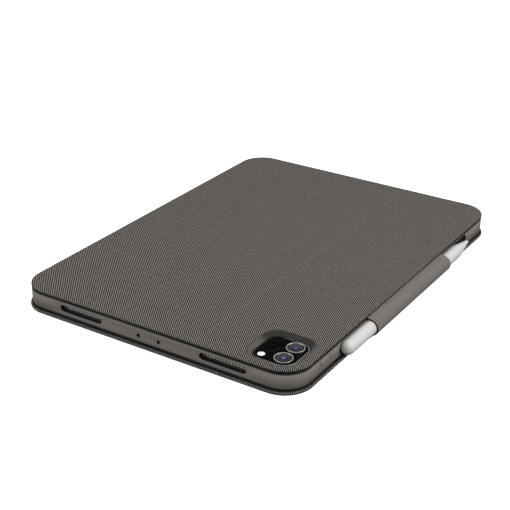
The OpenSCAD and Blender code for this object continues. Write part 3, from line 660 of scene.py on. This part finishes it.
NODE_MATERIALS = {
    "tray_frame": TRAY, "camera_surround": SURROUND, "volume_up_button": TRAY,
    "volume_down_button": TRAY, "back_plate": BOARD, "cover_board": BOARD, "kickstand_board": BOARD,
    "base_board": BOARD, "base_liner": LINING, "keyboard_deck": DECK, "key_plate": STEEL,
    "keyboard_circuit": CIRCUIT, "key_domes": SILICONE, "trackpad": PAD, "trackpad_frame": STEEL,
    "trackpad_switch": SILICONE, "strip_cable": CIRCUIT, "connector_block": BLACK_PLASTIC,
    "contact_pins": GOLD, "hinge_leaves_fixed": STEEL, "hinge_leaves_moving": STEEL, "hinge_pins": STEEL,
    "base_magnets": STEEL, "tray_magnets": STEEL, "kickstand_magnets": STEEL, "flap_magnet": STEEL,
    "landing_plate": STEEL, "tablet_housing": SHELL, "tablet_glass": SCREEN, "camera_island": ISLAND,
    "camera_rim": RIM, "lens_ring_wide": ALUMINIUM, "lens_ring_ultra": ALUMINIUM,
    "camera_flash": FLASH, "depth_sensor": SENSOR, "stylus_barrel": STYLUS, "stylus_nib": STYLUS,
    "cover_fabric": COVER_WEAVE, "kickstand_fabric": COVER_WEAVE, "base_fabric": COVER_WEAVE,
    "strip_fabric": COVER_WEAVE, "flap_fabric": FLAP_WEAVE, "flap_tip_fabric": FLAP_WEAVE,
    "flap_root": FLAP_WEAVE,
}
KEY_NODES = ["keys_function", "keys_number", "keys_upper", "keys_home", "keys_lower", "keys_bottom",
             "space_bar"]
NODE_MATERIALS.update({name: KEYCAP for name in KEY_NODES})


for lens, glint in (("lens_glass_wide", (0.15, 0.24, 0.62)), ("lens_glass_ultra", (0.13, 0.11, 0.50))):
    NODE_MATERIALS[lens] = lens_coating(lens + "_coating", centre_of(lens), glint)


def dress(obj, material):
    obj.data.materials.clear()
    obj.data.materials.append(material)
    return obj


WELD = 0.002                         # vertices closer than this are joined
EDGE, KEY_EDGE = 0.12, 0.25          # rounding of edges, and of the keys'

for name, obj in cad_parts.items():
    dress(obj, NODE_MATERIALS[name])
    weld = obj.modifiers.new("weld", "WELD")
    weld.merge_threshold = WELD * MM
    edge = obj.modifiers.new("edge", "BEVEL")
    edge.width = (KEY_EDGE if name in KEY_NODES else EDGE) * MM
    edge.segments = 2
    edge.limit_method = "ANGLE"
    edge.angle_limit = math.radians(50)
    edge.use_clamp_overlap = True
    edge.harden_normals = False
    smooth(obj, 40)
    if name in KEY_NODES:
        obj.modifiers.new("even_tops", "WEIGHTED_NORMAL").keep_sharp = True

# ---- covers ----


def edge_profile(z_face, z_rim, roll, inner_z, direction, small=0.25, shadow_line=True):
    """Profile of a panel's skin: flat face, rolled edge, straight side, small roll, inner face.
    direction is 1 when the broad face is the upper one. The last argument adds the line of vertices at
    which the black band of painted shadow along the edge begins."""
    d = direction
    face = [(roll + 1.5, z_face), (roll + 0.5, z_face)]
    rolled = [(roll - roll * math.sin(a), z_face - d * roll * (1 - math.cos(a)))
              for a in map(math.radians, range(0, 91, 15))]
    under = [(small - small * math.cos(a), z_rim + d * small * (1 - math.sin(a)))
             for a in map(math.radians, range(0, 91, 30))]
    if shadow_line:
        under.insert(0, (0, z_rim + d * EDGE_SHADOW_H))
    inside = [(SKIN_T, z_rim), (SKIN_T + 0.05, inner_z), (SKIN_T + 0.6, inner_z)]
    return face + rolled + under + inside


def darken(obj, is_shaded):
    """Gives the black material of painted shadow to the faces whose centre, in millimetres, the test
    picks.
    """
    obj.data.materials.append(EDGE_SHADOW)
    for face in obj.data.polygons:
        if is_shaded(face.center / MM):
            face.material_index = 1


def make_cover_skin():
    """Back cover's weave in one piece: fixed half, crease and kickstand."""
    profile = edge_profile(COVER_HIGH.z, COVER_LOW.z, COVER_ROLL, COVER_HIGH.z - SKIN_T + 0.03, 1)
    window_l = (WINDOW_HIGH.x - WINDOW_LOW.x) / 2 + 0.05
    window_w = (WINDOW_HIGH.y - WINDOW_LOW.y) / 2 + 0.05
    wx, wy = (WINDOW_HIGH.x + WINDOW_LOW.x) / 2, (WINDOW_HIGH.y + WINDOW_LOW.y) / 2
    top = COVER_HIGH.z
    lip = 0.45
    rim = [(-lip, top), (-lip * 0.6, top - 0.03), (-lip * 0.25, top - 0.13), (0, top - lip),
           (0, top - SKIN_T + 0.03)]
    hole = (wx, wy, window_l, window_w, WINDOW_R, rim)
    steps = [0.1, 0.2, 0.35, 0.5, 0.7, 0.9, 1.2, 1.6]
    crease = [-c for c in reversed(steps)] + [0] + steps
    bm = panel(HALF_L, HALF_W, CORNER_R, profile, hole, [CREASE_Y + c for c in crease])
    for v in bm.verts:
        near = abs(v.co.y - CREASE_Y)
        if near < steps[-1] and v.co.z > top - 0.3:
            v.co.z -= CREASE_DEPTH * math.exp(-((near / CREASE_HALF) ** 2))
    skin = dress(new_object("cover_skin", bm), COVER_WEAVE)
    # painted shadow: the band along the cloth's lower edge is black
    darken(skin, lambda c: c.z < COVER_LOW.z + EDGE_SHADOW_H)
    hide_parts("cover_fabric", "kickstand_fabric")
    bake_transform(skin)


def cut_away(obj, low, high, name):
    """Takes a block, given by its corners in millimetres, out of a closed mesh."""
    bm = bmesh.new()
    bmesh.ops.create_cube(bm, size=1)
    for v in bm.verts:
        v.co = Vector([low[i] if v.co[i] < 0 else high[i] for i in range(3)])
    set_uv(bm, lambda v: Vector((v.co.x, v.co.y + v.co.z)) * MM)
    cutter = new_object(name, bm)
    cut = obj.modifiers.new("cut", "BOOLEAN")
    cut.operation = "DIFFERENCE"
    cut.solver = "EXACT"
    cut.object = cutter
    bpy.context.view_layer.update()
    evaluated = obj.evaluated_get(bpy.context.evaluated_depsgraph_get())
    mesh = bpy.data.meshes.new_from_object(evaluated)
    obj.modifiers.clear()
    obj.data = mesh
    bpy.data.objects.remove(cutter)
    smooth(obj)


def cut_notch(obj, margin):
    """Takes the notch for the spine out of the keyboard cover's far edge."""
    low = (STRIP_LOW.x - 1, STRIP_LOW.y - margin, -2)
    cut_away(obj, low, (STRIP_HIGH.x + 1, BASE_HALF_W + 4, 5), "notch")


def make_base_skin():
    """Keyboard cover's weave: underside and rolled edge, with the notch for the spine and the
    recess that takes the flap's foot."""
    profile = edge_profile(BASE_LOW.z, BASE_HIGH.z, BASE_ROLL, BASE_LOW.z + SKIN_T - 0.12, -1, 0.5,
                           shadow_line=False)
    bm = panel(BASE_HALF_L, BASE_HALF_W, BASE_R, profile)
    skin = dress(new_object("base_skin", bm), COVER_WEAVE)
    cut_notch(skin, 0.3)
    low = (TIP_LOW.x - 0.5, -BASE_HALF_W - 4, -2)
    cut_away(skin, low, (TIP_HIGH.x + 0.5, TIP_HIGH.y + 0.5, 1.1), "recess")
    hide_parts("base_fabric")
    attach(skin, "base")


def make_liner():
    """Brushed lining round the keyboard, set into the keyboard cover's edge."""
    inset = BASE_HIGH.x - LINER_HIGH.x
    z0, z1 = LINER_LOW.z, LINER_HIGH.z
    profile = [(1.5, z1), (0.15, z1), (0.04, z1 - 0.04), (0, z1 - 0.15),
               (0, z0 + 0.1), (0.04, z0 + 0.02), (0.15, z0), (1.5, z0)]
    half_l, half_w = BASE_HALF_L - inset, BASE_HALF_W - inset
    bm = panel(half_l, half_w, BASE_R - inset, profile)
    lining = dress(new_object("liner_sheet", bm), LINING)
    cut_notch(lining, 0.4)
    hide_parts("base_liner")
    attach(lining, "base")


def make_recess_lining():
    """Cloth on the recess's ceiling, where the flap's foot lands."""
    z = 1.04
    back = TIP_HIGH.y
    path = [(back + 0.3, 0.55), (back + 0.3, z - 0.15), (back + 0.1, z), (-BASE_HALF_W + 0.9, z)]
    bm = extrude_section(thick_path(path, 0.1), TIP_LOW.x - 0.4, TIP_HIGH.x + 0.4, 4, 0.1)
    lining = dress(new_object("recess_lining", bm), FLAP_WEAVE)
    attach(lining, "base")


def make_spine():
    """Spine's weave in two pieces that meet half way up: one turns at the keyboard cover's edge,
    the other at the tray's."""
    t = 0.9
    y = (STRIP_LOW.y + STRIP_HIGH.y) / 2
    low_z, high_z = STRIP_LOW.z + 0.5, STRIP_HIGH.z - 0.5
    middle = (low_z + high_z) / 2
    bend, foot_z = 0.75, 0.47
    foot = [(y - 5.2, foot_z), (y - 3.2, foot_z), (y - 1.6, foot_z)]
    foot += arc(y - bend, foot_z + bend, bend, -90, 0, 8)
    lower = foot + [(y, 2.0), (y, 3.2), (y, 5.0), (y, middle)]
    bm = extrude_section(thick_path(lower, t), STRIP_LOW.x, STRIP_HIGH.x, 6)
    skin = dress(new_object("spine_lower", bm), COVER_WEAVE)
    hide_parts("strip_fabric")
    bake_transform(skin)
    tuck = high_z + 0.95
    head = [(y, middle), (y, 9.0), (y, 10.6), (y, 11.6), (y, 12.0)]
    head += arc(y - 0.5, tuck - 0.5, 0.5, 0, 90, 8)
    upper = head + [(y - 1.2, tuck), (y - 2.6, tuck), (y - 4.2, tuck)]
    bm = extrude_section(thick_path(upper, t), STRIP_LOW.x, STRIP_HIGH.x, 6)
    skin = dress(new_object("spine_upper", bm), COVER_WEAVE)
    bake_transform(skin)


def make_pad_webs():
    """Thin web of rubber that joins each volume pad to the tray's wall."""
    for name in ("volume_up_button", "volume_down_button"):
        low, high = box_mm(name)
        centre = (low + high) / 2
        half_h = (high.z - low.z) / 2
        points = outline((high.x - low.x) / 2, half_h - 0.001, half_h - 0.002, steps=10, runs=3)
        bm = bmesh.new()
        corners = [(0.26, 0.12), (0.26, 0.6), (0.03, 0.6), (0.03, 0.12)]
        rings = [ring_of(bm, points, half_h + grow, depth) for grow, depth in corners]
        for a, b in zip(rings, rings[1:] + rings[:1]):
            bridge(bm, a, b)
        for v in bm.verts:
            v.co = (centre.x + v.co.x, FRAME_LOW.y + v.co.z, centre.z + v.co.y)
        web = dress(new_object(name.replace("button", "web"), bm), TRAY)
        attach(web, "tray")


# ---- flap ----

FLAP_T = 0.7


def flap_path():
    """Line of the flap's cloth: out from under the back cover, round the stylus, down past the
    keyboard cover's edge and under it. Gives the part above the lowest fold and the foot."""
    r = STYLUS_R + 0.3 + FLAP_T / 2
    top = [(-HALF_W + 1.2, 12.85), (-HALF_W, 12.78), (-HALF_W - 1.0, 12.58), (-HALF_W - 1.6, 12.42)]
    round_part = arc(STYLUS_Y, STYLUS_Z, r, 95, 230, 34)
    foot_top = (TIP_LOW.y + 0.05, 1.35)
    last = Vector(round_part[-1])
    straight = [tuple(last.lerp(Vector(foot_top), k / 4)) for k in range(1, 3)]
    upper = top + round_part + straight
    corner = arc(TIP_LOW.y + 0.62, 1.04, 0.6, 200, 270, 8)
    z = (TIP_LOW.z + TIP_HIGH.z) / 2
    under = [(TIP_LOW.y + 1.6, z), (TIP_LOW.y + 3, z), (TIP_LOW.y + 6, z), (TIP_HIGH.y - 0.2, z)]
    foot = [straight[-1], tuple(last.lerp(Vector(foot_top), 0.75))] + corner + under
    return upper, foot


def make_flap():
    """Flap's cloth in two pieces: the one round the stylus and the foot."""
    upper, foot = flap_path()
    x0, x1 = FLAP_LOW.x, FLAP_HIGH.x

    # faces at the flap's ends take the black of painted shadow
    def at_an_end(c):
        return not x0 + 0.2 < c.x < x1 - 0.2

    bm = extrude_section(thick_path(upper, FLAP_T), x0, x1, 24, 0.4)
    skin = dress(new_object("flap_skin", bm, 50), FLAP_WEAVE)
    darken(skin, at_an_end)
    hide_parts("flap_fabric", "flap_root")
    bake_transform(skin)
    bm = extrude_section(thick_path(foot, FLAP_T * 0.85), x0, x1, 24, 0.4)
    skin = dress(new_object("flap_foot", bm, 50), FLAP_WEAVE)
    darken(skin, at_an_end)
    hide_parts("flap_tip_fabric", "flap_magnet")
    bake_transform(skin)


make_cover_skin()
make_base_skin()
make_liner()
make_recess_lining()
make_spine()
make_pad_webs()
make_flap()

# ---- floor, light and camera ----

FLOOR_GLOW = 0.8       # strength of the floor's glow
FLOOR_Z = -0.05        # just clear of the underside, in millimetres
FLOOR_HALF = 20000     # half the floor's side, in millimetres
SKY, SKY_LOW = 0.78, 0.12     # brightness of the sky, and the share of it below the floor's level


def make_stage():
    """White paper that glows faintly, so that it stays white, under a sky that is bright above the
    floor's level and dark below it."""
    bm = bmesh.new()
    bmesh.ops.create_grid(bm, x_segments=8, y_segments=8, size=FLOOR_HALF)
    floor = new_object("studio_floor", bm)
    floor.location.z = FLOOR_Z * MM
    n = Nodes("studio_paper")
    tone = n.mix(n.noise(n.object_point(), 3.0, 3.0), (0.93, 0.93, 0.93), (0.95, 0.95, 0.95))
    dress(floor, n.finish(tone, None, Roughness=0.9, Specular_IOR_Level=0.1, Emission_Color=(1, 1, 1, 1),
                          Emission_Strength=FLOOR_GLOW))
    floor.visible_diffuse = False
    floor.visible_glossy = False
    world = bpy.data.worlds.new("studio")
    world.use_nodes = True
    tree = world.node_tree
    background = tree.nodes["Background"]
    split = tree.nodes.new("ShaderNodeSeparateXYZ")
    tree.links.new(tree.nodes.new("ShaderNodeTexCoord").outputs["Generated"], split.inputs[0])
    ramp = tree.nodes.new("ShaderNodeValToRGB")
    stops = ramp.color_ramp.elements
    stops[0].position, stops[0].color = 0.46, (SKY_LOW, SKY_LOW, SKY_LOW, 1)
    stops[1].position, stops[1].color = 0.56, (1, 1, 1, 1)
    height = tree.nodes.new("ShaderNodeMath")
    height.operation = "MULTIPLY_ADD"
    height.inputs[1].default_value = 0.5
    height.inputs[2].default_value = 0.5
    tree.links.new(split.outputs["Z"], height.inputs[0])
    tree.links.new(height.outputs[0], ramp.inputs[0])
    tree.links.new(ramp.outputs[0], background.inputs[0])
    background.inputs[1].default_value = SKY
    bpy.context.scene.world = world


def area_light(name, place, size, power, target=(0, 0, 0.01)):
    light = bpy.data.lights.new(name, "AREA")
    light.shape = "RECTANGLE"
    light.size, light.size_y = size
    light.energy = power
    obj = bpy.data.objects.new(name, light)
    obj.location = place
    obj.rotation_euler = (Vector(target) - Vector(place)).to_track_quat("-Z", "Y").to_euler()
    bpy.context.scene.collection.objects.link(obj)


# Where the camera stands: azimuth, elevation and roll in degrees, distance and target in metres,
# and its lens in millimetres
CAMERA_AZ, CAMERA_EL, CAMERA_ROLL = -57.82, 25.71, 0.70
CAMERA_DISTANCE = 0.74447
CAMERA_TARGET = Vector((0.01518, 0.02179, -0.0052))
CAMERA_LENS = 80.63


def make_camera():
    data = bpy.data.cameras.new("camera")
    data.sensor_width = 36
    data.lens = CAMERA_LENS
    camera = bpy.data.objects.new("camera", data)
    az, el = math.radians(CAMERA_AZ), math.radians(CAMERA_EL)
    back = Vector((math.sin(az) * math.cos(el), -math.cos(az) * math.cos(el), math.sin(el)))
    camera.rotation_mode = "QUATERNION"
    turn = (-back).to_track_quat("-Z", "Y")
    roll = Matrix.Rotation(math.radians(CAMERA_ROLL), 3, "Z").to_quaternion()
    camera.rotation_quaternion = turn @ roll
    camera.location = CAMERA_TARGET + back * CAMERA_DISTANCE
    bpy.context.scene.collection.objects.link(camera)
    bpy.context.scene.camera = camera


make_stage()
area_light("key", place=(0.2, -1.3, 0.95), size=(1.2, 0.8), power=12.5)
area_light("fill", place=(-1.3, 0.9, 0.6), size=(1.0, 1.0), power=8)
make_camera()
bpy.context.scene.view_settings.view_transform = "Standard"
